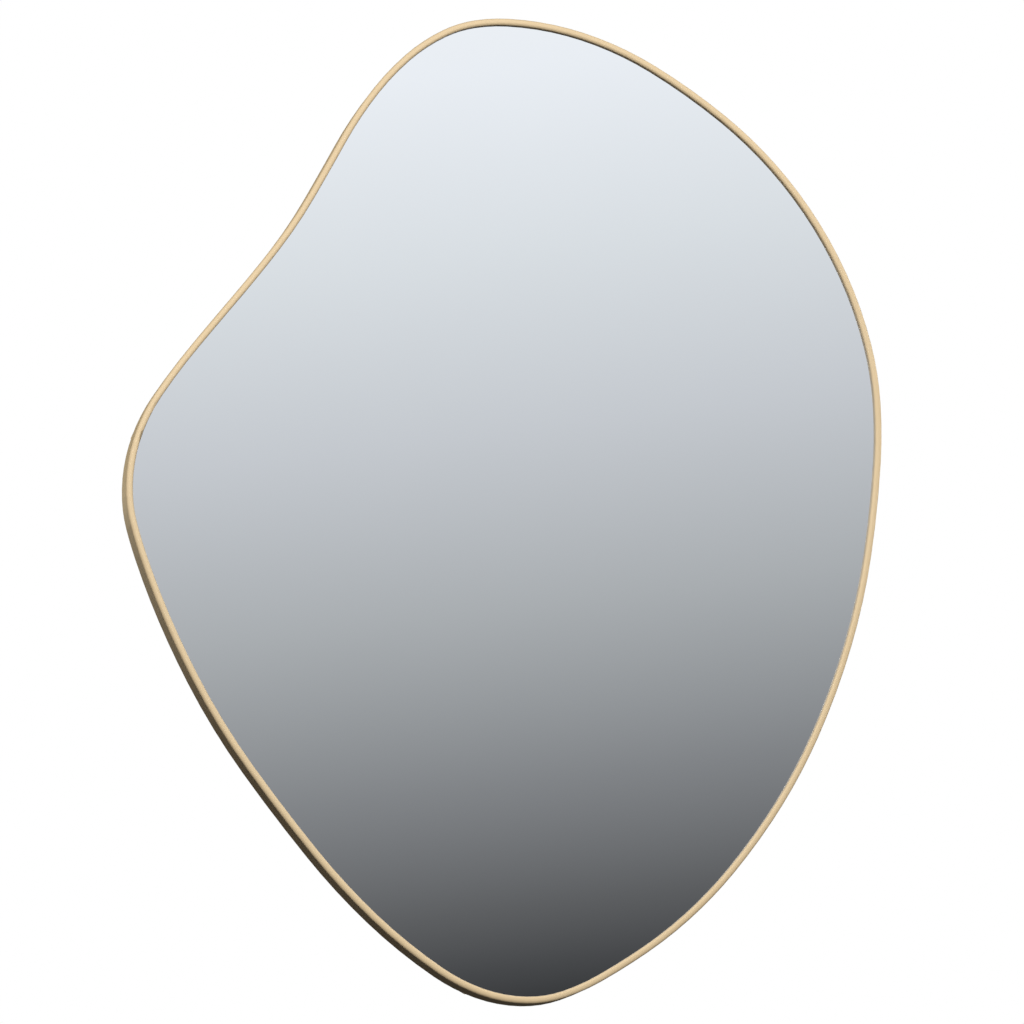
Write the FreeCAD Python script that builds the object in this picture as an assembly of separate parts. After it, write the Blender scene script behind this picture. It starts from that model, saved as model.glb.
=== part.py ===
import FreeCAD, Part
import math
import os

# Irregular wall mirror: a pebble-shaped pane in a thin metal tray frame, bonded to a fibreboard back
# that hangs on two D-ring hangers. Millimetres, +Z up.
# The front faces -Y and the wall is the plane y = 0. The origin is the point of the wall that is
# midway between the two wall hooks, at the height where the hangers' rings bear on them.

Vector = FreeCAD.Vector

# ---- Outline of the frame's outer edge ----
# Landmarks clockwise from the top, seen from the front: x to the right and z up from the middle of
# the outline, and the heading of the edge in degrees, 0 to the right and 90 up. Two arcs tangent to
# each other and to both headings join each pair. The whole is scaled to mirror_height.
edge_landmarks = [
    (-1, 400, 0),  # top
    (121, 367, -29.5),
    (232, 278, -50),
    (301, 143, -76),
    (308, 45, -94),  # widest on the right
    (282, -106, -107),
    (215, -250, -124),
    (147, -330, -138),
    (75, -381, -150),
    (14, -400, -180),  # foot
    (-56, -378, -213),
    (-158, -286, -230),
    (-255, -149, -242),
    (-298, -51, -251),
    (-309, -4, -267),  # widest on the left
    (-286, 80, -303),
    (-223, 163, -309),
    (-164, 247, -299),  # in the hollow of the upper left
    (-111, 337, -307),
    (-54, 388, -332),
]

# ---- Sizes ----
mirror_height = 800.0  # the frame from its top to its foot
hooks_above_middle = 190.0  # the wall hooks above the middle of the outline
hooks_right_of_middle = 16.0  # over the centre of mass, so that the mirror hangs level
hook_spacing = 240.0  # between the two wall hooks

frame_depth = 25.0  # front to back
frame_face = 5.6  # width of the face seen from the front
frame_wall = 1.6  # thickness of the strip round the outside and across the front
frame_lip = 1.4  # thickness of the lip that turns back to the glass
lip_depth = 4.0  # from the frame's front to the glass
frame_front_round = 2.8  # outer front edge
frame_lip_round = 2.0  # inner front edge
frame_rear_round = 0.6  # outer rear edge

glass_thickness = 4.0
glass_clearance = 1.0  # between the glass's edge and the frame's wall
film_thickness = 0.3
film_setback = 1.0  # of the safety film's edge from the glass's edge
tape_thickness = 1.0
tape_width = 25.0
tape_pitch = 100.0
tape_count = 5
tape_setback = 25.0  # of a strip's ends from the glass's edge
board_thickness = 9.0
board_clearance = 0.8  # between the board's edge and the frame's wall

tab_count = 8
tab_width = 20.0
tab_thickness = 1.2
tab_reach = 16.0  # of the foot that holds the board, from the frame's wall
tab_setback = 0.8  # of the upright's edge from the frame's rear edge
tab_corner = 4.0  # radius of the foot's corners
tab_bend = 0.8  # inner radius of the bend
tab_hole_from_end = 6.5  # of the screw from the end of the foot
first_tab_share = 0.03  # of the way round from the top

screw_radius = 1.75
screw_length = 7.5  # below the head, with the point
screw_point = 2.0
screw_head_radius = 3.2
screw_head_height = 1.9
screw_head_round = 1.0
screw_slot_width = 0.8  # one arm of the cross recess
screw_slot_length = 3.8
screw_slot_depth = 1.0
screw_hole_clearance = 0.2  # round the shank in a foot or a strap
pilot_past_point = 0.5  # depth of the board's hole beyond the screw's point

strap_width = 12.0
strap_thickness = 1.2
strap_length = 38.0  # from the ring's axis to the rounded end
strap_upper_hole = 22.0  # below the ring's axis
strap_lower_hole = 32.0
curl_slit = 0.4  # where the curled end meets the strap

wire_radius = 1.1
wire_clearance = 0.05  # round the wire in the curl
ring_bar = 13.0  # the straight side of the ring, which turns in the curl
ring_corner = 3.0
ring_side = 3.0  # straight stretch between a corner and the round end
ring_lean = 2.0  # degrees that the hanging ring stands off its strap

bumper_radius = 6.5  # at the board
bumper_tip_radius = 5.5  # at the wall
bumper_round = 0.8
bumper_inset = 30.0  # of its centre from the frame's outer edge
bumper_proud = 1.0  # beyond the frame's rear edge, up to the wall
bumper_count = 4

# ---- Planes across the depth, from the wall to the front ----
wall_plane = 0.0
frame_rear = wall_plane - bumper_proud
frame_front = frame_rear - frame_depth
glass_front = frame_front + lip_depth
glass_rear = glass_front + glass_thickness
film_rear = glass_rear + film_thickness
board_front = film_rear + tape_thickness
board_rear = board_front + board_thickness

glass_inset = frame_wall + glass_clearance
board_inset = frame_wall + board_clearance
middle_x = -hooks_right_of_middle
middle_z = -hooks_above_middle

curl_inner_radius = wire_radius + wire_clearance
curl_outer_radius = curl_inner_radius + strap_thickness
ring_half_width = ring_bar / 2 + ring_corner
ring_drop = ring_corner + ring_side + ring_half_width  # from the axis to the middle of the round end
pivot_y = board_rear + curl_outer_radius
pivot_z = wire_radius - ring_drop  # the ring swung up bears on its hook at z = 0

OVERCUT = 5.0  # how far a cutting solid stands out of what it cuts
SAME_HEADING = 1e-9  # two headings that differ by less are parallel
SAME_PLANE = 1e-4  # an edge nearer to a plane than this lies in it
SAME_OUTLINE = 1e-3  # an edge nearer to an outline than this lies on it


# ---- The outline as a chain of tangent arcs ----
def heading_vector(degrees):
    """The unit vector of a heading in the XZ plane."""
    turn = math.radians(degrees)
    return Vector(math.cos(turn), 0, math.sin(turn))


def inward(tangent):
    """The normal that points into the outline, which runs clockwise."""
    return Vector(tangent.z, 0, -tangent.x)


def joining_arcs(start, start_tangent, end, end_tangent):
    """Two arcs, tangent where they meet, each as its start, tangent there, end and tangent there."""
    span = end - start
    tangents = start_tangent + end_tangent
    bend = 2 * (1 - start_tangent.dot(end_tangent))
    along = span.dot(tangents)
    if bend < SAME_HEADING:
        reach = span.dot(span) / (2 * along)
    else:
        reach = (math.sqrt(along * along + bend * span.dot(span)) - along) / bend
    first_corner = start + start_tangent * reach
    second_corner = end - end_tangent * reach
    meeting = (first_corner + second_corner) * 0.5
    tangent = (second_corner - first_corner).normalize()
    return [(start, start_tangent, meeting, tangent), (meeting, tangent, end, end_tangent)]


def outline_arcs():
    """The arcs of the frame's outer edge, clockwise from the top."""
    heights = [z for x, z, heading in edge_landmarks]
    scale = mirror_height / (max(heights) - min(heights))
    places = []
    for x, z, heading in edge_landmarks:
        place = Vector(middle_x + x * scale, 0, middle_z + z * scale)
        places.append((place, heading_vector(heading)))
    arcs = []
    for here, there in zip(places, places[1:] + places[:1]):
        arcs += joining_arcs(here[0], here[1], there[0], there[1])
    return arcs


OUTLINE = outline_arcs()


def arc_edge(start, tangent, end):
    """The arc from start to end that leaves start along tangent."""
    chord = end - start
    half_turn = inward(tangent).dot(chord) / chord.Length
    bulge = math.tan(math.asin(half_turn) / 2) * chord.Length / 2
    across = inward(chord * (1 / chord.Length))
    middle = (start + end) * 0.5 - across * bulge
    return Part.Arc(start, middle, end).toShape()


def inset_wire(inset, y):
    """The outline moved inwards by inset, in the plane at y."""
    edges = []
    depth = Vector(0, y, 0)
    for start, start_tangent, end, end_tangent in OUTLINE:
        first = start + inward(start_tangent) * inset + depth
        last = end + inward(end_tangent) * inset + depth
        edges.append(arc_edge(first, start_tangent, last))
    return Part.Wire(edges)


def plate(inset, front, rear):
    """A solid of the inset outline from front to rear."""
    face = Part.Face(inset_wire(inset, front))
    return face.extrude(Vector(0, rear - front, 0))


def band(outer_inset, inner_inset, front, rear):
    """A ring of the outline between two insets, from front to rear."""
    hole = plate(inner_inset, front - OVERCUT, rear + OVERCUT)
    return plate(outer_inset, front, rear).cut(hole)


def station(share):
    """The point and tangent at a share of the way round the outer edge, clockwise from the top."""
    edges = inset_wire(0, 0).Edges
    left = share * sum(edge.Length for edge in edges)
    for edge, arc in zip(edges, OUTLINE):
        if left <= edge.Length:
            along = left / edge.Length
            tangent = arc[1] * (1 - along) + arc[3] * along
            place = edge.valueAt(edge.getParameterByLength(left))
            return place, tangent.normalize()
        left -= edge.Length
    return OUTLINE[0][0], OUTLINE[0][1]


def edges_at(shape, y):
    """The edges that lie in the plane at y."""
    found = []
    for edge in shape.Edges:
        box = edge.BoundBox
        if abs(box.YMin - y) < SAME_PLANE and abs(box.YMax - y) < SAME_PLANE:
            found.append(edge)
    return found


# ---- Small parts used more than once ----
def rod(x, z, front, rear, radius):
    """A round bar along Y."""
    return Part.makeCylinder(radius, rear - front, Vector(x, front, z), Vector(0, 1, 0))


def screw(x, z, seat):
    """A cross-head screw along Y, driven from the rear, with its head on the plane at seat."""
    head = rod(x, z, seat, seat + screw_head_height, screw_head_radius)
    head = head.makeFillet(screw_head_round, edges_at(head, seat + screw_head_height))
    shank_end = seat - screw_length + screw_point
    shank = rod(x, z, shank_end, seat, screw_radius)
    tip = Vector(x, shank_end, z)
    point = Part.makeCone(screw_radius, 0, screw_point, tip, Vector(0, -1, 0))
    body = head.fuse([shank, point])
    slot_floor = seat + screw_head_height - screw_slot_depth
    half_length = screw_slot_length / 2
    half_width = screw_slot_width / 2
    for reach_x, reach_z in ((half_length, half_width), (half_width, half_length)):
        corner = Vector(x - reach_x, slot_floor, z - reach_z)
        slot = Part.makeBox(2 * reach_x, screw_slot_depth + OVERCUT, 2 * reach_z, corner)
        body = body.cut(slot)
    return body.removeSplitter()


def pilot_hole(x, z, seat):
    """The hole in the board that a screw seated at seat turns into."""
    floor = seat - screw_length - pilot_past_point
    return rod(x, z, floor, board_rear + OVERCUT, screw_radius)


# ---- Frame ----
def frame_rim():
    """The rolled strip: a J section whose lip turns back to the glass."""
    rim = plate(0, frame_front, frame_rear)
    rim = rim.makeFillet(frame_front_round, edges_at(rim, frame_front))
    rim = rim.makeFillet(frame_rear_round, edges_at(rim, frame_rear))
    window = plate(frame_face, frame_front - OVERCUT, frame_rear + OVERCUT)
    rim = rim.cut(window)
    lip_edges = []
    for edge in edges_at(rim, frame_front):
        if is_on_inset(edge, frame_face):
            lip_edges.append(edge)
    rim = rim.makeFillet(frame_lip_round, lip_edges)
    tray = plate(frame_wall, glass_front, frame_rear + OVERCUT)
    rim = rim.cut(tray)
    groove_inset = frame_face - frame_lip
    groove = band(frame_wall, groove_inset, frame_front + frame_wall, glass_front)
    return rim.cut(groove)


def is_on_inset(edge, inset):
    """Does the edge lie on the outline moved inwards by inset?"""
    middle = edge.valueAt((edge.FirstParameter + edge.LastParameter) / 2)
    gap = inset_wire(inset, middle.y).distToShape(Part.Vertex(middle))[0]
    return gap < SAME_OUTLINE


# ---- Tabs that hold the board in the frame ----
def tab_place(index):
    """Where a tab stands: a point of the outer edge and the tangent there."""
    return station(first_tab_share + index / tab_count)


def tab_screw_place(index):
    """The centre of the screw in a tab's foot."""
    place, tangent = tab_place(index)
    return place + inward(tangent) * (frame_wall + tab_reach - tab_hole_from_end)


def tongue(place, tangent, front, rear):
    """The plan of a tab as a tall solid: its width, its reach and its two round corners."""
    across = inward(tangent)
    side = tangent * (tab_width / 2)
    outer = place - across * OVERCUT
    end = place + across * (frame_wall + tab_reach)
    shoulder = end - across * tab_corner
    turn = tab_corner * (1 - math.sqrt(0.5))
    cheek = tangent * (tab_width / 2 - tab_corner)
    bulge = end - across * turn
    swell = tangent * (tab_width / 2 - turn)
    outline = Part.Wire(
        [
            Part.LineSegment(outer - side, shoulder - side).toShape(),
            Part.Arc(shoulder - side, bulge - swell, end - cheek).toShape(),
            Part.LineSegment(end - cheek, end + cheek).toShape(),
            Part.Arc(end + cheek, bulge + swell, shoulder + side).toShape(),
            Part.LineSegment(shoulder + side, outer + side).toShape(),
            Part.LineSegment(outer + side, outer - side).toShape(),
        ]
    )
    outline.translate(Vector(0, front, 0))
    return Part.Face(outline).extrude(Vector(0, rear - front, 0))


def frame_tab(index):
    """An angle of steel strip: an upright on the frame's wall and a foot on the board."""
    place, tangent = tab_place(index)
    foot_rear = board_rear + tab_thickness
    upright_inset = frame_wall + tab_thickness
    upright_rear = frame_rear - tab_setback
    plan = tongue(place, tangent, board_rear, upright_rear)
    tab = plan.cut(plate(upright_inset, foot_rear, frame_rear + OVERCUT))
    tab = tab.common(plate(frame_wall, board_rear, frame_rear))
    bends = []
    for edge in edges_at(tab, foot_rear):
        if is_on_inset(edge, upright_inset):
            bends.append(edge)
    tab = tab.makeFillet(tab_bend, bends)
    hole = tab_screw_place(index)
    radius = screw_radius + screw_hole_clearance
    return tab.cut(rod(hole.x, hole.z, board_rear - OVERCUT, frame_rear, radius))


def tab_screws():
    """The screws that hold the tabs' feet to the board."""
    seat = board_rear + tab_thickness
    places = [tab_screw_place(index) for index in range(tab_count)]
    return Part.makeCompound([screw(place.x, place.z, seat) for place in places])


# ---- Glass and what bonds it to the board ----
def mirror_glass():
    """The silvered pane, which rests on the lip."""
    return plate(glass_inset, glass_front, glass_rear)


def safety_film():
    """The film on the pane's back, which holds the pieces if it breaks."""
    return plate(glass_inset + film_setback, glass_rear, film_rear)


def foam_tape(index):
    """An upright strip of foam tape between the film and the board."""
    centre = middle_x + (index - (tape_count - 1) / 2) * tape_pitch
    field = Part.Face(inset_wire(glass_inset + tape_setback, 0))
    low = middle_z - mirror_height
    high = middle_z + mirror_height
    for x in (centre - tape_width / 2, centre + tape_width / 2):
        line = Part.LineSegment(Vector(x, 0, low), Vector(x, 0, high)).toShape()
        crossing = field.common(line).BoundBox
        low = max(low, crossing.ZMin)
        high = min(high, crossing.ZMax)
    corner = Vector(centre - tape_width / 2, film_rear, low)
    return Part.makeBox(tape_width, tape_thickness, high - low, corner)


def backing_board():
    """The fibreboard that carries the glass and the hangers, with its screw holes."""
    board = plate(board_inset, board_front, board_rear)
    holes = []
    for index in range(tab_count):
        place = tab_screw_place(index)
        holes.append(pilot_hole(place.x, place.z, board_rear + tab_thickness))
    for side in (-1, 1):
        for drop in (strap_upper_hole, strap_lower_hole):
            x = side * hook_spacing / 2
            holes.append(pilot_hole(x, pivot_z - drop, board_rear + strap_thickness))
    return board.cut(holes)


# ---- Hangers ----
def hanger_strap(side):
    """A steel strap with two screw holes, curled at its top round the ring's straight side."""
    x = side * hook_spacing / 2
    half_width = strap_width / 2
    plate_end = pivot_z - strap_length
    straight = strap_length - half_width
    corner = Vector(x - half_width, board_rear, plate_end + half_width)
    strap = Part.makeBox(strap_width, strap_thickness, straight, corner)
    round_end = rod(x, plate_end + half_width, board_rear, board_rear + strap_thickness, half_width)
    axis_start = Vector(x - half_width, pivot_y, pivot_z)
    curl = Part.makeCylinder(curl_outer_radius, strap_width, axis_start, Vector(1, 0, 0))
    bore_start = axis_start - Vector(OVERCUT, 0, 0)
    bore_length = strap_width + 2 * OVERCUT
    bore = Part.makeCylinder(curl_inner_radius, bore_length, bore_start, Vector(1, 0, 0))
    slit_low = pivot_z - curl_outer_radius
    slit_corner = Vector(x - half_width - OVERCUT, board_rear + strap_thickness, slit_low - OVERCUT)
    slit = Part.makeBox(bore_length, curl_slit, curl_outer_radius + OVERCUT, slit_corner)
    hanger = strap.fuse([round_end, curl]).removeSplitter().cut([bore, slit])
    radius = screw_radius + screw_hole_clearance
    for drop in (strap_upper_hole, strap_lower_hole):
        hanger = hanger.cut(rod(x, pivot_z - drop, board_rear - OVERCUT, wall_plane, radius))
    return hanger


def hanger_ring(side):
    """The D-shaped wire ring, hanging down over its strap."""
    x = side * hook_spacing / 2
    bar_end = ring_bar / 2
    turn = ring_corner * (1 - math.sqrt(0.5))
    side_top = -ring_corner
    side_end = side_top - ring_side
    corner_x = ring_half_width - turn
    edges = [Part.LineSegment(Vector(-bar_end, 0, 0), Vector(bar_end, 0, 0)).toShape()]
    edges.append(arc_through((bar_end, 0), (corner_x, -turn), (ring_half_width, side_top)))
    edges.append(line_through((ring_half_width, side_top), (ring_half_width, side_end)))
    foot = (0, side_end - ring_half_width)
    edges.append(arc_through((ring_half_width, side_end), foot, (-ring_half_width, side_end)))
    edges.append(line_through((-ring_half_width, side_end), (-ring_half_width, side_top)))
    edges.append(arc_through((-ring_half_width, side_top), (-corner_x, -turn), (-bar_end, 0)))
    path = Part.Wire(edges)
    section = Part.Wire([Part.makeCircle(wire_radius, Vector(0, 0, 0), Vector(1, 0, 0))])
    ring = path.makePipeShell([section], True, True)
    ring.rotate(Vector(0, 0, 0), Vector(1, 0, 0), ring_lean)
    ring.translate(Vector(x, pivot_y, pivot_z))
    return ring


def line_through(start, end):
    """A straight edge of the ring's path, from points given as x and z."""
    return Part.LineSegment(Vector(start[0], 0, start[1]), Vector(end[0], 0, end[1])).toShape()


def arc_through(start, middle, end):
    """A round edge of the ring's path, from points given as x and z."""
    points = [Vector(point[0], 0, point[1]) for point in (start, middle, end)]
    return Part.Arc(points[0], points[1], points[2]).toShape()


def hanger_screws(side):
    """The two screws that hold a strap to the board."""
    x = side * hook_spacing / 2
    seat = board_rear + strap_thickness
    drops = (strap_upper_hole, strap_lower_hole)
    return Part.makeCompound([screw(x, pivot_z - drop, seat) for drop in drops])


# ---- Bumpers ----
def wall_bumper(index):
    """A rubber foot on the board, midway between two tabs, that keeps the frame off the wall."""
    share = first_tab_share + 0.5 / tab_count + index / bumper_count
    place, tangent = station(share)
    centre = place + inward(tangent) * bumper_inset
    base = Vector(centre.x, board_rear, centre.z)
    height = wall_plane - board_rear
    foot = Part.makeCone(bumper_radius, bumper_tip_radius, height, base, Vector(0, 1, 0))
    return foot.makeFillet(bumper_round, edges_at(foot, wall_plane))


# ---- Sub-parts ----
def sub_parts():
    """Every node's name and shape."""
    nodes = {
        "frame_rim": frame_rim(),
        "mirror_glass": mirror_glass(),
        "safety_film": safety_film(),
        "backing_board": backing_board(),
        "tab_screws": tab_screws(),
    }
    for index in range(tape_count):
        nodes["foam_tape_%d" % (index + 1)] = foam_tape(index)
    for index in range(tab_count):
        nodes["frame_tab_%d" % (index + 1)] = frame_tab(index)
    for name, side in (("left", -1), ("right", 1)):
        nodes["hanger_strap_" + name] = hanger_strap(side)
        nodes["hanger_ring_" + name] = hanger_ring(side)
        nodes["hanger_screws_" + name] = hanger_screws(side)
    for index in range(bumper_count):
        nodes["wall_bumper_%d" % (index + 1)] = wall_bumper(index)
    return nodes


os.makedirs("parts", exist_ok=True)
for node, shape in sub_parts().items():
    shape.exportStep("parts/" + node + ".step")
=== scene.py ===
import math

import bpy
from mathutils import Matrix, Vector


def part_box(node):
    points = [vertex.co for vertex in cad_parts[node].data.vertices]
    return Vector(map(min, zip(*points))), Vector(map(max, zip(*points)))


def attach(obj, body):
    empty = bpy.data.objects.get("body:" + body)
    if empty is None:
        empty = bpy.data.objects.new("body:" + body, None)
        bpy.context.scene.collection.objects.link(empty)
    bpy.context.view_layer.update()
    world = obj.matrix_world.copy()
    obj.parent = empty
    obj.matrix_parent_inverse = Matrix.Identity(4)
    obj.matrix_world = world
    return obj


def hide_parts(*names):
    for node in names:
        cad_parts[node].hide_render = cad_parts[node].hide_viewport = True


# Looks of an irregular wall mirror: a silvered pane in a thin champagne gold tray frame, with a
# painted fibreboard back on two D-ring hangers. Metres, +Z up. The front faces -Y, the wall is y = 0.

bl_info = {
    "name": "Irregular wall mirror",
    "version": (1, 0, 0),
    "blender": (4, 5, 0),
    "location": "3D View > Sidebar > Mirror",
    "description": "Pieces and finishes of a pebble-shaped wall mirror in a thin gold frame",
    "category": "Object",
}

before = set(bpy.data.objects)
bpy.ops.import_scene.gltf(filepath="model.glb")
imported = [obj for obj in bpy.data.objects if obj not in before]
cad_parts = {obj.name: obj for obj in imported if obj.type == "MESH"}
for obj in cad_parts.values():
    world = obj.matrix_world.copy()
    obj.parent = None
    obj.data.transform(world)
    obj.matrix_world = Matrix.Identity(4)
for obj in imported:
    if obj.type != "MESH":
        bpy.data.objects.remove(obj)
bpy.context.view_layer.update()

BODY = "mirror"
TAB_COUNT = 8
TAPE_COUNT = 5
BUMPER_COUNT = 4
SIDES = ("left", "right")

SAME_PLANE = 0.0001  # points nearer than this along an axis lie in one plane
FLAT_ON = 0.99  # a face whose normal has more than this along an axis faces along it
SAME_POINT = 0.000001  # points nearer than this are merged
STILL_FLAT = math.radians(0.2)  # faces that meet at less than this become one
SMOOTH_UP_TO = math.radians(20)  # edges sharper than this stay sharp
REAR_ROW = 0.00001  # how far from a tab's rear a point may be and still count as on it

BEAD_SIDES = 12  # of a weld bead's section
BEAD_ENDS = (0.45, 0.85)  # size of a bead's end and of the ring next to it
BEAD_RIPPLE = (1.0, 0.86)  # size of a bead at the top and the foot of a ripple

# Sockets of a Mix node that mixes colours.
MIX_FACTOR = 0
MIX_FIRST = 6
MIX_SECOND = 7
MIX_RESULT = 2


# ---- Colours and scales ----
def linear(code):
    """An sRGB colour written as six hex digits, as linear red, green and blue."""
    levels = []
    for start in (0, 2, 4):
        level = int(code[start:start + 2], 16) / 255
        levels.append(level / 12.92 if level <= 0.04045 else ((level + 0.055) / 1.055) ** 2.4)
    return tuple(levels)


def opaque(colour):
    """A colour with full alpha, as a shader's socket takes it."""
    return (*colour, 1.0)


def per_metre(millimetres):
    """The Scale of a texture whose features are this large."""
    return 1000 / millimetres


# ---- Settings ----
def length(name, description, metres):
    """A length property."""
    return bpy.props.FloatProperty(
        name=name, description=description, default=metres, subtype="DISTANCE", unit="LENGTH", precision=5
    )


def colour(name, description, code):
    """A colour property."""
    return bpy.props.FloatVectorProperty(
        name=name, description=description, default=linear(code), subtype="COLOR", size=3, min=0, max=1
    )


class MirrorSizes(bpy.types.PropertyGroup):
    """Sizes of the pieces that are modelled here"""

    arris: length("Arris", "Width of the ground edge round the pane", 0.0006)
    bead_length: length("Weld length", "Length of the weld on each tab", 0.013)
    bead_radius: length("Weld radius", "Radius of the weld on each tab", 0.00072)
    bead_ripples: bpy.props.IntProperty(
        name="Weld ripples", description="Ripples along each weld", default=9, min=2, max=20
    )


class MirrorColours(bpy.types.PropertyGroup):
    """Colours of the finishes"""

    gold: colour("Champagne gold", "Lacquer of the frame and its tabs", "E7D3B2")
    gold_shade: colour("Gold shade", "The lacquer where it lies a little thicker", "E2CCA9")
    clear_coat: colour("Clear coat", "The clear lacquer over the gold", "FFF9EC")
    silver: colour("Silver", "Silver behind the glass", "F8FAFB")
    silver_shade: colour("Silver shade", "Silver where it lies a little thinner", "F7F9FA")
    edge: colour("Glass edge", "The pane's ground edge", "8FA79C")
    edge_light: colour("Glass edge, light", "The pane's ground edge where the wheel cut deeper", "A9BBB2")
    backing: colour("Backing paint", "The paint over the silver", "8B8F90")
    board: colour("Board", "Matt black paint on the fibreboard", "1D1C1A")
    board_scuff: colour("Board scuff", "The black paint where it is rubbed or thin", "35322D")
    zinc: colour("Zinc", "Bright zinc plate", "C9CAC6")
    zinc_dull: colour("Dull zinc", "Zinc plate where it has dulled", "A6A69F")
    film: colour("Film", "Vinyl safety film", "C9CCCE")
    foam: colour("Foam", "White polyethylene foam tape", "ECEBE6")
    rubber: colour("Rubber", "Black rubber", "161616")


class StudioSettings(bpy.types.PropertyGroup):
    """The floor, the lights and the camera"""

    camera_place: bpy.props.FloatVectorProperty(
        name="Camera", description="Where the camera stands", default=(-1.0057, -4.8235, -1.06), size=3,
        subtype="TRANSLATION", unit="LENGTH"
    )
    camera_aim: bpy.props.FloatVectorProperty(
        name="Aim", description="The point in the middle of the picture", default=(-0.0089, -0.0014, -0.1922),
        size=3, subtype="TRANSLATION", unit="LENGTH"
    )
    lens: bpy.props.FloatProperty(
        name="Lens", description="Focal length", default=218.7, unit="CAMERA"
    )
    floor_height: length("Floor", "Height of the floor", -1.5)
    wall_distance: length("Studio wall", "From the mirror to the wall that it reflects", 3.0)
    key_power: bpy.props.FloatProperty(
        name="Key light", description="Power of the large soft light at the front", default=320.0,
        unit="POWER",
    )
    side_power: bpy.props.FloatProperty(
        name="Side light", description="Power of the soft light on the right", default=60.0, unit="POWER"
    )
    back_power: bpy.props.FloatProperty(
        name="Back light", description="Power of the soft light behind", default=90.0, unit="POWER"
    )
    ambient: bpy.props.FloatProperty(
        name="Ambient", description="Light of the white room on matt surfaces", default=0.03, min=0, max=1
    )


# ---- Materials ----
def add_node(tree, kind, values=None, **settings):
    """Adds a node with its settings. A value is a number, a colour or another node's output."""
    made = tree.nodes.new(kind)
    for name, setting in settings.items():
        setattr(made, name, setting)
    for socket, value in (values or {}).items():
        if isinstance(value, bpy.types.NodeSocket):
            tree.links.new(value, made.inputs[socket])
        else:
            made.inputs[socket].default_value = value
    return made


def between(tree, share, first, second):
    """A colour that lies between two by a share."""
    return add_node(
        tree, "ShaderNodeMix", {MIX_FACTOR: share, MIX_FIRST: opaque(first), MIX_SECOND: opaque(second)},
        data_type="RGBA",
    ).outputs[MIX_RESULT]


def start_material(name):
    """A new material with no nodes, its tree, and the place on the object that its patterns read."""
    material = bpy.data.materials.new(name)
    material.use_nodes = True
    tree = material.node_tree
    tree.nodes.clear()
    place = add_node(tree, "ShaderNodeTexCoord").outputs["Object"]
    return material, tree, place


def finish_material(material, tree, shader):
    """Links a shader to the material's output."""
    add_node(tree, "ShaderNodeOutputMaterial", {"Surface": shader.outputs[0]})
    return material


def gold_lacquer(colours):
    """Satin champagne gold: metallic lacquer sprayed on rolled steel and baked under a clear coat.

    The flakes give a soft metal sheen, the clear coat mirrors the room most where it is seen at a slant,
    the spray leaves a faint orange peel, and the strip's rolling long shallow waves.
    """
    material, tree, place = start_material("champagne_gold_satin_lacquer")
    cloud = add_node(tree, "ShaderNodeTexNoise", {"Vector": place, "Scale": per_metre(70), "Detail": 4.0})
    tone = between(tree, cloud.outputs[0], colours.gold, colours.gold_shade)
    satin = add_node(tree, "ShaderNodeTexNoise", {"Vector": place, "Scale": per_metre(6), "Detail": 3.0})
    roughness = add_node(
        tree, "ShaderNodeMapRange",
        {"Value": satin.outputs[0], "From Min": 0.3, "From Max": 0.7, "To Min": 0.5, "To Max": 0.58},
    )
    peel = add_node(tree, "ShaderNodeTexNoise", {"Vector": place, "Scale": per_metre(1.5), "Detail": 2.0})
    fine = add_node(
        tree, "ShaderNodeBump", {"Height": peel.outputs[0], "Strength": 0.12, "Distance": 0.00001}
    )
    wave = add_node(tree, "ShaderNodeTexNoise", {"Vector": place, "Scale": per_metre(45), "Detail": 1.0})
    relief = add_node(
        tree, "ShaderNodeBump",
        {"Height": wave.outputs[0], "Strength": 0.3, "Distance": 0.0002, "Normal": fine.outputs[0]},
    )
    shader = add_node(
        tree, "ShaderNodeBsdfPrincipled",
        {
            "Base Color": tone, "Metallic": 0.25, "Roughness": roughness.outputs[0],
            "Specular IOR Level": 0.2, "Coat Weight": 0.8, "Coat Roughness": 0.2, "Coat IOR": 1.5,
            "Coat Tint": opaque(colours.clear_coat), "Normal": relief.outputs[0],
        },
    )
    return finish_material(material, tree, shader)


def silvered_glass(colours):
    """Silver seen through clear float glass: a true mirror, with a faint roller wave and wipe marks.

    The silver and the 4 mm of glass before it are one opaque surface, as plain as they look together.
    """
    material, tree, place = start_material("silvered_float_glass")
    wave = add_node(tree, "ShaderNodeTexNoise", {"Vector": place, "Scale": per_metre(150), "Detail": 0.0})
    relief = add_node(
        tree, "ShaderNodeBump", {"Height": wave.outputs[0], "Strength": 0.05, "Distance": 0.0001}
    )
    cloud = add_node(tree, "ShaderNodeTexNoise", {"Vector": place, "Scale": per_metre(90), "Detail": 2.0})
    tone = between(tree, cloud.outputs[0], colours.silver, colours.silver_shade)
    wipe = add_node(tree, "ShaderNodeTexNoise", {"Vector": place, "Scale": per_metre(40), "Detail": 3.0})
    roughness = add_node(
        tree, "ShaderNodeMapRange",
        {"Value": wipe.outputs[0], "From Min": 0.5, "From Max": 0.8, "To Min": 0.0, "To Max": 0.015},
    )
    shader = add_node(
        tree, "ShaderNodeBsdfPrincipled",
        {
            "Base Color": tone, "Metallic": 1.0, "Roughness": roughness.outputs[0],
            "Normal": relief.outputs[0],
        },
    )
    return finish_material(material, tree, shader)


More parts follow.
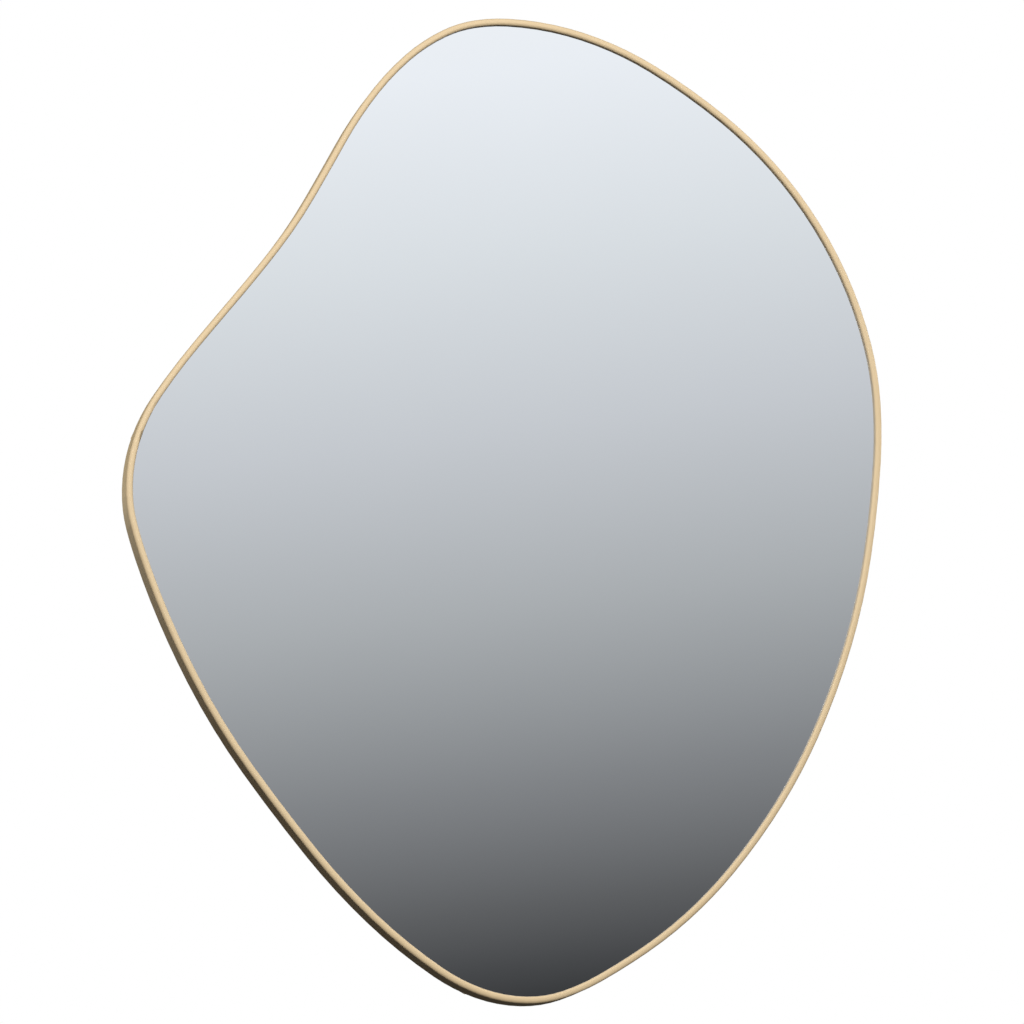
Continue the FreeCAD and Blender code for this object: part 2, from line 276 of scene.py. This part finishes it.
def ground_glass(colours):
    """The pane's edge, ground with a fine wheel: grey green, matt, with the wheel's marks along it."""
    material, tree, place = start_material("ground_glass_edge")
    along = add_node(tree, "ShaderNodeMapping", {"Vector": place, "Scale": (1.0, 8.0, 1.0)})
    marks = add_node(
        tree, "ShaderNodeTexNoise", {"Vector": along.outputs[0], "Scale": per_metre(1.5), "Detail": 3.0}
    )
    tone = between(tree, marks.outputs[0], colours.edge, colours.edge_light)
    relief = add_node(
        tree, "ShaderNodeBump", {"Height": marks.outputs[0], "Strength": 0.4, "Distance": 0.00005}
    )
    shader = add_node(
        tree, "ShaderNodeBsdfPrincipled",
        {"Base Color": tone, "Roughness": 0.45, "Normal": relief.outputs[0]},
    )
    return finish_material(material, tree, shader)


def backing_paint(colours):
    """The grey paint curtain-coated over the silver: smooth, half matt, with a faint flow."""
    material, tree, place = start_material("mirror_backing_paint")
    flow = add_node(tree, "ShaderNodeMapping", {"Vector": place, "Scale": (1.0, 1.0, 0.15)})
    streaks = add_node(
        tree, "ShaderNodeTexNoise", {"Vector": flow.outputs[0], "Scale": per_metre(8), "Detail": 2.0}
    )
    relief = add_node(
        tree, "ShaderNodeBump", {"Height": streaks.outputs[0], "Strength": 0.2, "Distance": 0.0001}
    )
    roughness = add_node(
        tree, "ShaderNodeMapRange", {"Value": streaks.outputs[0], "To Min": 0.45, "To Max": 0.6}
    )
    shader = add_node(
        tree, "ShaderNodeBsdfPrincipled",
        {
            "Base Color": opaque(colours.backing), "Roughness": roughness.outputs[0],
            "Normal": relief.outputs[0],
        },
    )
    return finish_material(material, tree, shader)


def board_paint(colours):
    """Matt black paint rolled on medium density fibreboard: roller stipple, felted fibres and scuffs."""
    material, tree, place = start_material("matt_black_fibreboard")
    scuff = add_node(
        tree, "ShaderNodeTexNoise",
        {"Vector": place, "Scale": per_metre(60), "Detail": 8.0, "Roughness": 0.65},
    )
    share = add_node(
        tree, "ShaderNodeMapRange",
        {"Value": scuff.outputs[0], "From Min": 0.42, "From Max": 0.78, "To Min": 0.0, "To Max": 1.0},
    )
    tone = between(tree, share.outputs[0], colours.board, colours.board_scuff)
    roughness = add_node(
        tree, "ShaderNodeMapRange", {"Value": scuff.outputs[0], "To Min": 0.72, "To Max": 0.88}
    )
    fibre = add_node(tree, "ShaderNodeTexNoise", {"Vector": place, "Scale": per_metre(1.2), "Detail": 5.0})
    fine = add_node(
        tree, "ShaderNodeBump", {"Height": fibre.outputs[0], "Strength": 0.35, "Distance": 0.00015}
    )
    stipple = add_node(tree, "ShaderNodeTexVoronoi", {"Vector": place, "Scale": per_metre(4)})
    relief = add_node(
        tree, "ShaderNodeBump",
        {"Height": stipple.outputs[0], "Strength": 0.2, "Distance": 0.0002, "Normal": fine.outputs[0]},
    )
    shader = add_node(
        tree, "ShaderNodeBsdfPrincipled",
        {
            "Base Color": tone, "Roughness": roughness.outputs[0],
            "Normal": relief.outputs[0],
        },
    )
    return finish_material(material, tree, shader)


def zinc_plate(colours):
    """Bright zinc plate on pressed or drawn steel: a clear metal that dulls in soft patches."""
    material, tree, place = start_material("bright_zinc_plate")
    patch = add_node(tree, "ShaderNodeTexNoise", {"Vector": place, "Scale": per_metre(5), "Detail": 5.0})
    share = add_node(
        tree, "ShaderNodeMapRange", {"Value": patch.outputs[0], "From Min": 0.35, "From Max": 0.7}
    )
    tone = between(tree, share.outputs[0], colours.zinc, colours.zinc_dull)
    roughness = add_node(
        tree, "ShaderNodeMapRange", {"Value": share.outputs[0], "To Min": 0.24, "To Max": 0.42}
    )
    grain = add_node(tree, "ShaderNodeTexNoise", {"Vector": place, "Scale": per_metre(0.6), "Detail": 3.0})
    relief = add_node(
        tree, "ShaderNodeBump", {"Height": grain.outputs[0], "Strength": 0.15, "Distance": 0.00003}
    )
    shader = add_node(
        tree, "ShaderNodeBsdfPrincipled",
        {
            "Base Color": tone, "Metallic": 1.0, "Roughness": roughness.outputs[0],
            "Normal": relief.outputs[0],
        },
    )
    return finish_material(material, tree, shader)


def vinyl_film(colours):
    """Matt vinyl film with a fine embossed grain."""
    material, tree, place = start_material("matt_vinyl_film")
    grain = add_node(tree, "ShaderNodeTexVoronoi", {"Vector": place, "Scale": per_metre(0.9)})
    relief = add_node(
        tree, "ShaderNodeBump", {"Height": grain.outputs[0], "Strength": 0.3, "Distance": 0.00005}
    )
    roughness = add_node(
        tree, "ShaderNodeMapRange", {"Value": grain.outputs[0], "To Min": 0.5, "To Max": 0.65}
    )
    shader = add_node(
        tree, "ShaderNodeBsdfPrincipled",
        {
            "Base Color": opaque(colours.film), "Roughness": roughness.outputs[0],
            "Normal": relief.outputs[0],
        },
    )
    return finish_material(material, tree, shader)


def foam(colours):
    """Closed-cell polyethylene foam: small round cells cut open at the edge."""
    material, tree, place = start_material("white_polyethylene_foam")
    cells = add_node(tree, "ShaderNodeTexVoronoi", {"Vector": place, "Scale": per_metre(0.5)})
    relief = add_node(
        tree, "ShaderNodeBump", {"Height": cells.outputs[0], "Strength": 0.6, "Distance": 0.0001}
    )
    roughness = add_node(
        tree, "ShaderNodeMapRange", {"Value": cells.outputs[0], "To Min": 0.75, "To Max": 0.9}
    )
    shader = add_node(
        tree, "ShaderNodeBsdfPrincipled",
        {
            "Base Color": opaque(colours.foam), "Roughness": roughness.outputs[0],
            "Normal": relief.outputs[0],
        },
    )
    return finish_material(material, tree, shader)


def black_rubber(colours):
    """Moulded black rubber: matt, with a fine sparked texture."""
    material, tree, place = start_material("moulded_black_rubber")
    spark = add_node(tree, "ShaderNodeTexNoise", {"Vector": place, "Scale": per_metre(0.5), "Detail": 4.0})
    relief = add_node(
        tree, "ShaderNodeBump", {"Height": spark.outputs[0], "Strength": 0.4, "Distance": 0.00006}
    )
    roughness = add_node(
        tree, "ShaderNodeMapRange", {"Value": spark.outputs[0], "To Min": 0.6, "To Max": 0.85}
    )
    shader = add_node(
        tree, "ShaderNodeBsdfPrincipled",
        {
            "Base Color": opaque(colours.rubber), "Roughness": roughness.outputs[0],
            "Normal": relief.outputs[0],
        },
    )
    return finish_material(material, tree, shader)


def coat(piece, material):
    """Gives a piece or a CAD node one material all over."""
    if not piece.material_slots:
        piece.data.materials.append(material)
    for held in piece.material_slots:
        held.link = "OBJECT"
        held.material = material


def coat_nodes(names, material):
    """Gives CAD nodes a material."""
    for name in names:
        coat(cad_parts[name], material)


# ---- Modelling helpers ----
def choose(piece):
    """Selects one object and nothing else."""
    if bpy.context.mode != "OBJECT":
        bpy.ops.object.mode_set(mode="OBJECT")
    bpy.ops.object.select_all(action="DESELECT")
    piece.select_set(True)
    bpy.context.view_layer.objects.active = piece


def select_points(piece, wanted):
    """In edit mode, selects the points that a test accepts."""
    bpy.ops.mesh.select_mode(type="VERT")
    bpy.ops.mesh.select_all(action="DESELECT")
    bpy.ops.object.mode_set(mode="OBJECT")
    for point in piece.data.vertices:
        point.select = wanted(point.co)
    bpy.ops.object.mode_set(mode="EDIT")


def copy_of_node(node, name):
    """A free copy of a CAD node, its points merged and its flat faces whole."""
    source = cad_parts[node]
    piece = bpy.data.objects.new(name, source.data.copy())
    bpy.context.collection.objects.link(piece)
    choose(piece)
    bpy.ops.mesh.customdata_custom_splitnormals_clear()
    bpy.ops.object.mode_set(mode="EDIT")
    bpy.ops.mesh.select_all(action="SELECT")
    bpy.ops.mesh.remove_doubles(threshold=SAME_POINT)
    bpy.ops.mesh.dissolve_limited(angle_limit=STILL_FLAT)
    return piece


def settle(piece, name, material):
    """Names a finished piece, coats it and makes it part of the mirror."""
    if bpy.context.mode != "OBJECT":
        bpy.ops.object.mode_set(mode="OBJECT")
    piece.name = name
    piece.data.name = name
    choose(piece)
    bpy.ops.object.transform_apply(location=True, rotation=True, scale=True)
    piece.data.materials.clear()
    coat(piece, material)
    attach(piece, BODY)


# ---- Pieces ----
class MIRROR_OT_frame(bpy.types.Operator):
    """Finish the rolled frame"""

    bl_idname = "irregular_mirror.frame"
    bl_label = "Frame"

    def execute(self, context):
        coat_nodes(["frame_rim"], gold_lacquer(context.scene.mirror_colours))
        return {"FINISHED"}


class MIRROR_OT_tabs(bpy.types.Operator):
    """Finish the tabs and add the weld that holds each one to the frame"""

    bl_idname = "irregular_mirror.tabs"
    bl_label = "Tabs and welds"

    def execute(self, context):
        sizes = context.scene.mirror_sizes
        gold = gold_lacquer(context.scene.mirror_colours)
        tabs = ["frame_tab_%d" % number for number in range(1, TAB_COUNT + 1)]
        coat_nodes(tabs, gold)
        first = weld_bead(sizes)
        for number, tab in enumerate(tabs, 1):
            choose(first)
            bpy.ops.object.duplicate()
            bead = bpy.context.active_object
            place, turn = weld_place(tab)
            bead.location = place
            bead.rotation_euler = (0, turn, 0)
            settle(bead, "tab_weld_%d" % number, gold)
        bpy.data.objects.remove(first)
        return {"FINISHED"}


def weld_bead(sizes):
    """A bead of weld along X round the origin: a bar with ripples that tapers at its ends."""
    bpy.ops.object.select_all(action="DESELECT")
    bpy.ops.mesh.primitive_cylinder_add(
        vertices=BEAD_SIDES, radius=sizes.bead_radius, depth=sizes.bead_length, rotation=(0, math.pi / 2, 0),
    )
    bead = bpy.context.active_object
    bpy.ops.object.transform_apply(location=True, rotation=True, scale=True)
    bpy.ops.object.mode_set(mode="EDIT")
    bpy.ops.mesh.select_mode(type="EDGE")
    bpy.ops.mesh.select_all(action="DESELECT")
    bpy.ops.object.mode_set(mode="OBJECT")
    points = bead.data.vertices
    for edge in bead.data.edges:
        start, end = (points[index].co for index in edge.vertices)
        edge.select = abs(end.x - start.x) > sizes.bead_radius
    bpy.ops.object.mode_set(mode="EDIT")
    rings = 2 * sizes.bead_ripples
    bpy.ops.mesh.subdivide(number_cuts=rings - 1)
    pitch = sizes.bead_length / rings
    for ring in range(rings + 1):
        x = ring * pitch - sizes.bead_length / 2
        select_points(bead, lambda co: abs(co.x - x) < pitch / 4)
        from_end = min(ring, rings - ring)
        size = BEAD_ENDS[from_end] if from_end < len(BEAD_ENDS) else BEAD_RIPPLE[ring % 2]
        bpy.ops.transform.resize(value=(1, size, size), center_override=(x, 0, 0))
    bpy.ops.object.mode_set(mode="OBJECT")
    bpy.ops.object.shade_smooth()
    return bead


def weld_place(tab):
    """Where a tab's weld lies, in the corner of its upright and the frame's wall, and its turn about Y."""
    points = [point.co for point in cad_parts[tab].data.vertices]
    low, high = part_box(tab)
    rear = [Vector((co.x, 0, co.z)) for co in points if high[1] - co.y < REAR_ROW]
    middle = sum(rear, Vector()) / len(rear)
    along = max((co - middle for co in rear), key=lambda reach: reach.length)
    inside = Vector(((low[0] + high[0]) / 2, 0, (low[2] + high[2]) / 2)) - middle
    across = inside - along * (inside.dot(along) / along.dot(along))
    half_upright = max(abs((co - middle).dot(across.normalized())) for co in rear)
    place = middle - across.normalized() * half_upright
    place.y = high[1]
    return place, math.atan2(-along.z, along.x)


class MIRROR_OT_pane(bpy.types.Operator):
    """Model the silvered pane with its ground edge, in place of the plain one"""

    bl_idname = "irregular_mirror.pane"
    bl_label = "Silvered pane"

    def execute(self, context):
        sizes = context.scene.mirror_sizes
        colours = context.scene.mirror_colours
        pane = copy_of_node("mirror_glass", "silvered_pane")
        bpy.ops.mesh.select_mode(type="EDGE")
        bpy.ops.mesh.select_all(action="DESELECT")
        bpy.ops.object.mode_set(mode="OBJECT")
        points = pane.data.vertices
        for edge in pane.data.edges:
            start, end = (points[index].co for index in edge.vertices)
            edge.select = abs(start.y - end.y) < SAME_PLANE
        bpy.ops.object.mode_set(mode="EDIT")
        bpy.ops.mesh.bevel(offset=sizes.arris, segments=1, affect="EDGES")
        bpy.ops.mesh.normals_make_consistent(inside=False)
        settle(pane, "silvered_pane", silvered_glass(colours))
        for material in (ground_glass(colours), backing_paint(colours)):
            pane.data.materials.append(material)
        for face in pane.data.polygons:
            if abs(face.normal.y) < FLAT_ON:
                face.material_index = 1
            elif face.normal.y > 0:
                face.material_index = 2
        choose(pane)
        bpy.ops.object.shade_smooth_by_angle(angle=SMOOTH_UP_TO)
        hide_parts("mirror_glass")
        return {"FINISHED"}


class MIRROR_OT_bonding(bpy.types.Operator):
    """Finish the safety film and the foam tape"""

    bl_idname = "irregular_mirror.bonding"
    bl_label = "Film and tape"

    def execute(self, context):
        colours = context.scene.mirror_colours
        coat_nodes(["safety_film"], vinyl_film(colours))
        tapes = ["foam_tape_%d" % number for number in range(1, TAPE_COUNT + 1)]
        coat_nodes(tapes, foam(colours))
        return {"FINISHED"}


class MIRROR_OT_board(bpy.types.Operator):
    """Finish the backing board"""

    bl_idname = "irregular_mirror.board"
    bl_label = "Backing board"

    def execute(self, context):
        coat_nodes(["backing_board"], board_paint(context.scene.mirror_colours))
        return {"FINISHED"}


class MIRROR_OT_hangers(bpy.types.Operator):
    """Finish the straps, the rings and all the screws"""

    bl_idname = "irregular_mirror.hangers"
    bl_label = "Hangers and screws"

    def execute(self, context):
        zinc = zinc_plate(context.scene.mirror_colours)
        names = ["tab_screws"]
        for side in SIDES:
            names += ["hanger_strap_" + side, "hanger_ring_" + side, "hanger_screws_" + side]
        coat_nodes(names, zinc)
        return {"FINISHED"}


class MIRROR_OT_bumpers(bpy.types.Operator):
    """Finish the rubber bumpers"""

    bl_idname = "irregular_mirror.bumpers"
    bl_label = "Wall bumpers"

    def execute(self, context):
        names = ["wall_bumper_%d" % number for number in range(1, BUMPER_COUNT + 1)]
        coat_nodes(names, black_rubber(context.scene.mirror_colours))
        return {"FINISHED"}


# ---- Stage ----
# The studio wall's tones by height. In front of the mirror it has a dark foot and a white that comes in
# softly above, and behind it is warmer and darker, with a dark foot too.
FRONT_TONES = (
    (-0.42, "272829"),
    (-0.336, "494A4C"),
    (-0.26, "606163"),
    (-0.1, "85878A"),
    (0.127, "AEB1B4"),
    (0.36, "CACDD2"),
    (0.6, "DFE3E7"),
    (0.84, "F0F3F8"),
    (1.3, "FFFFFF"),
)
REAR_TONES = (
    (-1.5, "403B33"),
    (-0.6, "403B33"),
    (-0.1, "A59A84"),
    (0.25, "E0D0AE"),
    (0.5, "C9B896"),
    (0.8, "B3A281"),
    (2.0, "BDAF93"),
)
WALL_LEAN = 0.13  # how fast the tones in front fall to the right
WALL_TOP = 4.0
WALL_GAP = 0.01  # between the floor and the foot of the wall
REAR_FROM = 1.8  # how far behind the mirror the rear tones have fully come in

FLOOR_RADIUS = 12
FLOOR_NEAR = 1.8  # up to here the floor shows the least white
FLOOR_FAR = 5.5  # from here on it is all white
FLOOR_WHITE = 0.6  # the least share of white
ROUND_SIDES = 96  # of the floor's edge and of the studio wall

MIRROR_MIDDLE = (-0.016, 0, -0.19)  # what the lights are turned to
KEY_PLACE = (-0.8, -5.0, 0.7)
SIDE_PLACE = (3.4, 0.4, 0.4)
BACK_PLACE = (1.4, 3.0, 1.6)
KEY_SIZE = 2.4
FILL_SIZE = 1.6  # of the side and the back light
CAMERA_REACH = 50


def rays_that_see(tree):
    """1 for the rays that show the white room as it looks: from the camera, mirrors and glass."""
    path = add_node(tree, "ShaderNodeLightPath")
    shiny = add_node(
        tree, "ShaderNodeMath",
        {0: path.outputs["Is Glossy Ray"], 1: path.outputs["Is Transmission Ray"]}, operation="MAXIMUM",
    )
    return add_node(
        tree, "ShaderNodeMath", {0: path.outputs["Is Camera Ray"], 1: shiny.outputs[0]}, operation="MAXIMUM"
    ).outputs[0]


def pale_floor():
    """Matt pale studio floor that runs out into the white of the room."""
    material, tree, place = start_material("pale_studio_floor")
    mottle = add_node(tree, "ShaderNodeTexNoise", {"Vector": place, "Scale": per_metre(400), "Detail": 3.0})
    tone = between(tree, mottle.outputs[0], linear("F2F1EF"), linear("ECEBE9"))
    matt = add_node(tree, "ShaderNodeBsdfDiffuse", {"Color": tone})
    white = add_node(tree, "ShaderNodeEmission", {"Color": opaque(linear("FFFFFF")), "Strength": 1.0})
    away = add_node(tree, "ShaderNodeVectorMath", {0: place}, operation="LENGTH")
    share = add_node(
        tree, "ShaderNodeMapRange",
        {
            "Value": away.outputs["Value"], "From Min": FLOOR_NEAR, "From Max": FLOOR_FAR,
            "To Min": FLOOR_WHITE, "To Max": 1.0,
        },
        interpolation_type="SMOOTHSTEP",
    )
    seen = add_node(
        tree, "ShaderNodeMath", {0: share.outputs[0], 1: rays_that_see(tree)}, operation="MULTIPLY"
    )
    mixed = add_node(
        tree, "ShaderNodeMixShader", {0: seen.outputs[0], 1: matt.outputs[0], 2: white.outputs[0]}
    )
    return finish_material(material, tree, mixed)


def tones_by_height(tree, height, tones):
    """A ramp of tones, each at its height."""
    low, high = tones[0][0], tones[-1][0]
    level = add_node(tree, "ShaderNodeMapRange", {"Value": height, "From Min": low, "From Max": high})
    ramp = add_node(tree, "ShaderNodeValToRGB", {"Fac": level.outputs[0]})
    stops = ramp.color_ramp.elements
    for place, code in tones[1:-1]:
        stops.new((place - low) / (high - low))
    for stop, (place, code) in zip(stops, tones):
        stop.position = (place - low) / (high - low)
        stop.color = opaque(linear(code))
    return ramp.outputs[0]


def studio_wall():
    """The soft wall round the room, from dark grey to white, which only the mirror and the metal see."""
    material, tree, place = start_material("studio_wall_gradient")
    axes = add_node(tree, "ShaderNodeSeparateXYZ", {0: place})
    lean = add_node(
        tree, "ShaderNodeMath", {0: axes.outputs["X"], 1: -WALL_LEAN, 2: axes.outputs["Z"]},
        operation="MULTIPLY_ADD",
    )
    behind = add_node(
        tree, "ShaderNodeMapRange", {"Value": axes.outputs["Y"], "From Min": 0.0, "From Max": REAR_FROM},
        interpolation_type="SMOOTHSTEP",
    )
    wall = add_node(
        tree, "ShaderNodeMix",
        {
            MIX_FACTOR: behind.outputs[0],
            MIX_FIRST: tones_by_height(tree, lean.outputs[0], FRONT_TONES),
            MIX_SECOND: tones_by_height(tree, axes.outputs["Z"], REAR_TONES),
        },
        data_type="RGBA",
    )
    shader = add_node(tree, "ShaderNodeEmission", {"Color": wall.outputs[MIX_RESULT], "Strength": 1.0})
    return finish_material(material, tree, shader)


def add_light(name, place, aim, size, power):
    """A large square soft light at a place, turned to a point."""
    place = Vector(place)
    turn = (Vector(aim) - place).to_track_quat("-Z", "Y").to_euler()
    bpy.ops.object.light_add(type="AREA", location=place, rotation=turn)
    light = bpy.context.active_object
    light.name = name
    light.data.shape = "SQUARE"
    light.data.size = size
    light.data.energy = power
    return light


class MIRROR_OT_studio(bpy.types.Operator):
    """Add the floor, the studio wall, the lights and the camera"""

    bl_idname = "irregular_mirror.studio"
    bl_label = "Studio"

    def execute(self, context):
        studio = context.scene.mirror_studio
        bpy.ops.object.select_all(action="DESELECT")
        bpy.ops.mesh.primitive_circle_add(
            vertices=ROUND_SIDES, radius=FLOOR_RADIUS, fill_type="TRIFAN",
            location=(0, 0, studio.floor_height),
        )
        floor = bpy.context.active_object
        floor.name = "studio_floor"
        bpy.ops.object.transform_apply(location=True, rotation=True, scale=True)
        coat(floor, pale_floor())
        floor.visible_diffuse = False
        height = WALL_TOP - studio.floor_height - WALL_GAP
        bpy.ops.mesh.primitive_cylinder_add(
            vertices=ROUND_SIDES, radius=studio.wall_distance, depth=height, end_fill_type="TRIFAN",
            location=(0, 0, WALL_TOP - height / 2),
        )
        wall = bpy.context.active_object
        wall.name = "studio_wall"
        bpy.ops.object.transform_apply(location=True, rotation=True, scale=True)
        bpy.ops.object.shade_smooth()
        coat(wall, studio_wall())
        wall.visible_camera = False
        wall.visible_diffuse = False
        wall.visible_shadow = False
        lights = (
            add_light("key_light", KEY_PLACE, MIRROR_MIDDLE, KEY_SIZE, studio.key_power),
            add_light("side_light", SIDE_PLACE, MIRROR_MIDDLE, FILL_SIZE, studio.side_power),
            add_light("back_light", BACK_PLACE, MIRROR_MIDDLE, FILL_SIZE, studio.back_power),
        )
        for light in lights:
            light.visible_glossy = False
        self.white_room(context, studio)
        turn = (Vector(studio.camera_aim) - Vector(studio.camera_place)).to_track_quat("-Z", "Y")
        bpy.ops.object.camera_add(location=studio.camera_place, rotation=turn.to_euler())
        camera = bpy.context.active_object
        camera.name = "camera"
        camera.data.lens = studio.lens
        camera.data.clip_end = CAMERA_REACH
        context.scene.camera = camera
        context.scene.view_settings.view_transform = "Standard"
        return {"FINISHED"}

    def white_room(self, context, studio):
        """A white room that lights matt surfaces only a little."""
        room = bpy.data.worlds.new("white_room")
        room.use_nodes = True
        tree = room.node_tree
        tree.nodes.clear()
        strength = add_node(
            tree, "ShaderNodeMapRange",
            {"Value": rays_that_see(tree), "To Min": studio.ambient, "To Max": 1.0},
        )
        light = add_node(
            tree, "ShaderNodeBackground", {"Color": (1.0, 1.0, 1.0, 1.0), "Strength": strength.outputs[0]}
        )
        add_node(tree, "ShaderNodeOutputWorld", {"Surface": light.outputs[0]})
        context.scene.world = room


# ---- Panel and registration ----
class MIRROR_PT_pieces(bpy.types.Panel):
    """The mirror's pieces and their settings"""

    bl_label = "Irregular wall mirror"
    bl_idname = "MIRROR_PT_pieces"
    bl_space_type = "VIEW_3D"
    bl_region_type = "UI"
    bl_category = "Mirror"

    def draw(self, context):
        for operator in OPERATORS:
            self.layout.operator(operator.bl_idname)
        scene = context.scene
        for settings in (scene.mirror_sizes, scene.mirror_colours, scene.mirror_studio):
            for name in settings.__annotations__:
                self.layout.prop(settings, name)


OPERATORS = (
    MIRROR_OT_frame,
    MIRROR_OT_tabs,
    MIRROR_OT_pane,
    MIRROR_OT_bonding,
    MIRROR_OT_board,
    MIRROR_OT_hangers,
    MIRROR_OT_bumpers,
    MIRROR_OT_studio,
)
CLASSES = (MirrorSizes, MirrorColours, StudioSettings, *OPERATORS, MIRROR_PT_pieces)


def register():
    for item in CLASSES:
        bpy.utils.register_class(item)
    bpy.types.Scene.mirror_sizes = bpy.props.PointerProperty(type=MirrorSizes)
    bpy.types.Scene.mirror_colours = bpy.props.PointerProperty(type=MirrorColours)
    bpy.types.Scene.mirror_studio = bpy.props.PointerProperty(type=StudioSettings)


def unregister():
    del bpy.types.Scene.mirror_studio
    del bpy.types.Scene.mirror_colours
    del bpy.types.Scene.mirror_sizes
    for item in reversed(CLASSES):
        bpy.utils.unregister_class(item)


def main():
    register()
    bpy.ops.irregular_mirror.frame()
    bpy.ops.irregular_mirror.tabs()
    bpy.ops.irregular_mirror.pane()
    bpy.ops.irregular_mirror.bonding()
    bpy.ops.irregular_mirror.board()
    bpy.ops.irregular_mirror.hangers()
    bpy.ops.irregular_mirror.bumpers()
    bpy.ops.irregular_mirror.studio()


if __name__ == "__main__":
    main()
